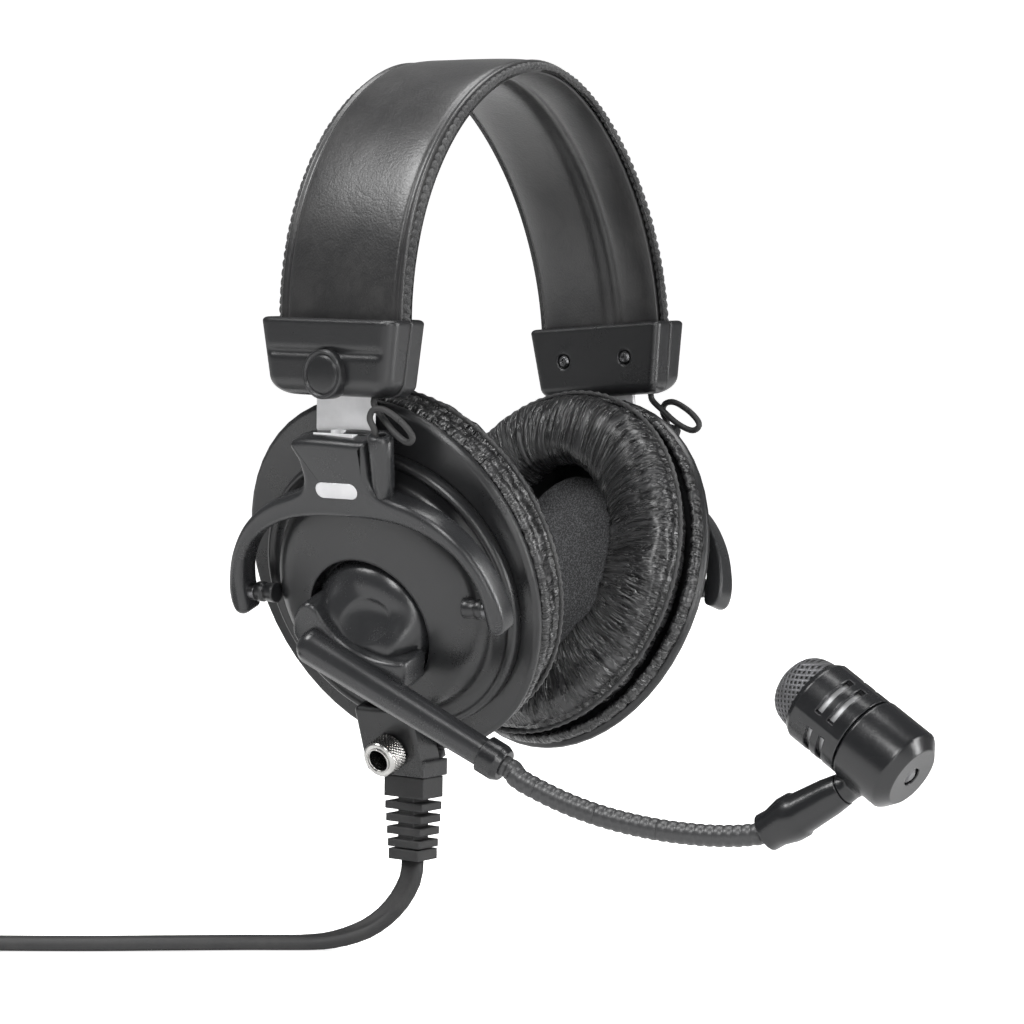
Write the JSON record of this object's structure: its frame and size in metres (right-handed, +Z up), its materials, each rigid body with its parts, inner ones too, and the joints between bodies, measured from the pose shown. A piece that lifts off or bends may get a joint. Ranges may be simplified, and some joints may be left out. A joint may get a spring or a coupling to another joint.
{
  "type": "headset microphone",
  "caption": "Padded headband headset with two closed tilting ear cups, a gooseneck boom microphone on one cup and a coiled cord with a connector.",
  "frame": {"origin": "middle of the underside of the headband, where it rests on the head", "axes": "+Z up, -Y the way the wearer faces, the boom microphone's cup on the -X side, +X from that cup to the other"},
  "size_m": [0.2141, 0.3823, 0.2391],
  "materials": {
    "band_leather": "smooth black grained leatherette",
    "pad_leather": "soft wrinkled black leatherette with a sheen",
    "shell_plastic": "satin black moulded plastic",
    "yoke_plastic": "satin dark grey moulded plastic",
    "steel_plate": "brushed stainless plate",
    "spring_steel": "dull spring steel",
    "black_screw": "blackened steel",
    "silver_inlay": "satin silver",
    "rubber_black": "matt black rubber",
    "foam_grey": "dark grey acoustic foam cloth",
    "gooseneck_black": "black coated ribbed metal",
    "mic_metal": "semi-gloss black painted metal",
    "grille_wire": "woven wire painted dark grey",
    "nickel": "nickel plated"
  },
  "bodies": {
    "headband": {"band_cover": "band_leather", "band_pad": "pad_leather", "band_spring_front": "spring_steel", "band_spring_rear": "spring_steel", "block_shell_near": "shell_plastic", "block_cover_near": "shell_plastic", "block_boss_near": "shell_plastic", "block_shell_far": "shell_plastic", "block_cover_far": "shell_plastic", "block_boss_far": "shell_plastic", "block_screw_near_a": "black_screw", "block_screw_near_b": "black_screw", "block_screw_far_a": "black_screw", "block_screw_far_b": "black_screw"},
    "slide_near": {"slider_near": "steel_plate"},
    "yoke_arm_near": {"yoke_near": "yoke_plastic", "yoke_inlay_near": "silver_inlay", "pivot_screw_near_a": "black_screw", "pivot_screw_near_b": "black_screw", "link_wire_near": "rubber_black"},
    "cup_near": {"cup_housing_near": "shell_plastic", "cup_baffle_near": "shell_plastic", "ear_pad_near": "pad_leather", "driver_near": "black_screw", "driver_cover_near": "foam_grey", "cable_block": "shell_plastic", "jack_barrel": "nickel", "jack_nut": "nickel", "strain_relief": "rubber_black", "cord": "rubber_black", "cord_coil": "rubber_black", "coil_tie": "rubber_black", "plug_boot": "rubber_black", "plug_shell": "nickel", "plug_insert": "rubber_black"},
    "slide_far": {"slider_far": "steel_plate"},
    "yoke_arm_far": {"yoke_far": "yoke_plastic", "yoke_inlay_far": "silver_inlay", "pivot_screw_far_a": "black_screw", "pivot_screw_far_b": "black_screw", "link_wire_far": "rubber_black"},
    "cup_far": {"cup_housing_far": "shell_plastic", "cup_baffle_far": "shell_plastic", "ear_pad_far": "pad_leather", "driver_far": "black_screw", "driver_cover_far": "foam_grey"},
    "boom": {"boom_hub": "yoke_plastic", "boom_arm": "yoke_plastic", "boom_collar": "shell_plastic"},
    "neck_1": {"gooseneck_1": "gooseneck_black"},
    "neck_2": {"gooseneck_2": "gooseneck_black"},
    "neck_3": {"gooseneck_3": "gooseneck_black"},
    "neck_4": {"gooseneck_4": "gooseneck_black", "mic_sleeve": "mic_metal"},
    "mic_head": {"mic_rear_body": "mic_metal", "mic_end_screw": "black_screw", "mic_slot_ring": "mic_metal", "mic_inner_sleeve": "silver_inlay", "mic_capsule": "black_screw", "mic_grille": "grille_wire"}
  },
  "joints": [
    {"name": "headband_slide_near", "type": "slide", "parent": "headband", "child": "slide_near", "axis": [0, 0, -1], "range_m": [0, 0.012], "deforming": ["link_wire_near"]},
    {"name": "yoke_swivel_near", "type": "hinge", "parent": "slide_near", "child": "yoke_arm_near", "pos_m": [-0.0598, 0, -0.0949], "axis": [0, 0, 1], "range_deg": [-8, 8]},
    {"name": "cup_tilt_near", "type": "hinge", "parent": "yoke_arm_near", "child": "cup_near", "pos_m": [-0.04693, -0.00033, -0.13511], "axis": [-0.0349, 0.9994, 0], "range_deg": [0, 16]},
    {"name": "headband_slide_far", "type": "slide", "parent": "headband", "child": "slide_far", "axis": [0, -0.0872, -0.9962], "range_m": [0, 0.012], "deforming": ["link_wire_far"]},
    {"name": "yoke_swivel_far", "type": "hinge", "parent": "slide_far", "child": "yoke_arm_far", "pos_m": [0.0598, -0.00293, -0.09837], "axis": [0, 0.0872, 0.9962], "range_deg": [-8, 8]},
    {"name": "cup_tilt_far", "type": "hinge", "parent": "yoke_arm_far", "child": "cup_far", "pos_m": [0.04693, -0.00676, -0.1384], "axis": [-0.0349, -0.9956, 0.0871], "range_deg": [0, 16]},
    {"name": "boom_swing", "type": "hinge", "parent": "cup_near", "child": "boom", "pos_m": [-0.04664, 0.00018, -0.142], "axis": [-0.9426, -0.0329, -0.3322], "range_deg": [-20, 70]},
    {"name": "neck_bend_in_out", "type": "hinge", "parent": "boom", "child": "neck_1", "pos_m": [-0.04472, -0.04656, -0.17593], "axis": [-0.0884, -0.646, 0.7582], "range_deg": [-20, 20]},
    {"name": "neck_bend_up_down", "type": "hinge", "parent": "neck_1", "child": "neck_2", "pos_m": [-0.04217, -0.06204, -0.183], "axis": [-0.9774, -0.2115, 0], "range_deg": [-20, 20]},
    {"name": "neck_bend_in_out_2", "type": "hinge", "parent": "neck_2", "child": "neck_3", "pos_m": [-0.03809, -0.07858, -0.18687], "axis": [0.0269, -0.1346, 0.9905], "range_deg": [-20, 20]},
    {"name": "neck_bend_up_down_2", "type": "hinge", "parent": "neck_3", "child": "neck_4", "pos_m": [-0.03462, -0.09566, -0.1881], "axis": [-0.9739, -0.227, 0], "range_deg": [-20, 20]},
    {"name": "mic_swivel", "type": "hinge", "parent": "neck_4", "child": "mic_head", "pos_m": [-0.0266, -0.1336, -0.1739], "axis": [0.1282, -0.8438, 0.5212], "range_deg": [-60, 60]}
  ],
  "couplings": [
    {"joint": "neck_bend_in_out_2", "follows": "neck_bend_in_out", "ratio": 1},
    {"joint": "neck_bend_up_down_2", "follows": "neck_bend_up_down", "ratio": 1}
  ]
}
